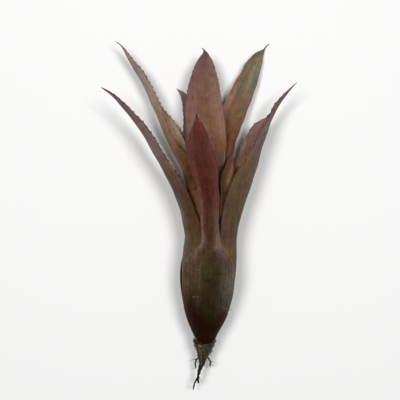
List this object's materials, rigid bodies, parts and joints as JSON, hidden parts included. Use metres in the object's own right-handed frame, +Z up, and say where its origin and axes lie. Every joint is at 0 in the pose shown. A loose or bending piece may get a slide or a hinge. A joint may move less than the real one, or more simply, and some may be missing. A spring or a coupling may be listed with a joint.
{
  "type": "bromeliad plant",
  "caption": "Small neoregelia bromeliad with bare roots, lying on its back: leaf bases nested into an urn, channelled strap leaves with toothed margins and hooked tips.",
  "frame": {"origin": "on the surface the plant lies on, in the small flat spot under the widest part of its urn", "axes": "+Y along the plant from roots to leaf tips, +Z up away from the surface, +X to the right seen from above"},
  "size_m": [0.1191, 0.2205, 0.0451],
  "materials": {
    "maroon_leaf": "satin",
    "mauve_leaf": "satin",
    "bronze_leaf": "satin",
    "brown_leaf": "satin",
    "olive_leaf": "satin",
    "copper_leaf": "satin",
    "pink_leaf": "satin",
    "young_leaf": "satin",
    "dry_scale": "matte",
    "stem_root": "matte"
  },
  "bodies": {
    "root": {"front_leaf": "maroon_leaf", "left_leaf": "mauve_leaf", "upper_left_leaf": "bronze_leaf", "right_leaf": "brown_leaf", "right_back_leaf": "olive_leaf", "tall_back_leaf": "copper_leaf", "short_back_leaf": "pink_leaf", "heart_leaf": "young_leaf", "scale_left": "dry_scale", "scale_right": "dry_scale", "scale_under": "dry_scale", "stem": "stem_root"}
  },
  "joints": []
}
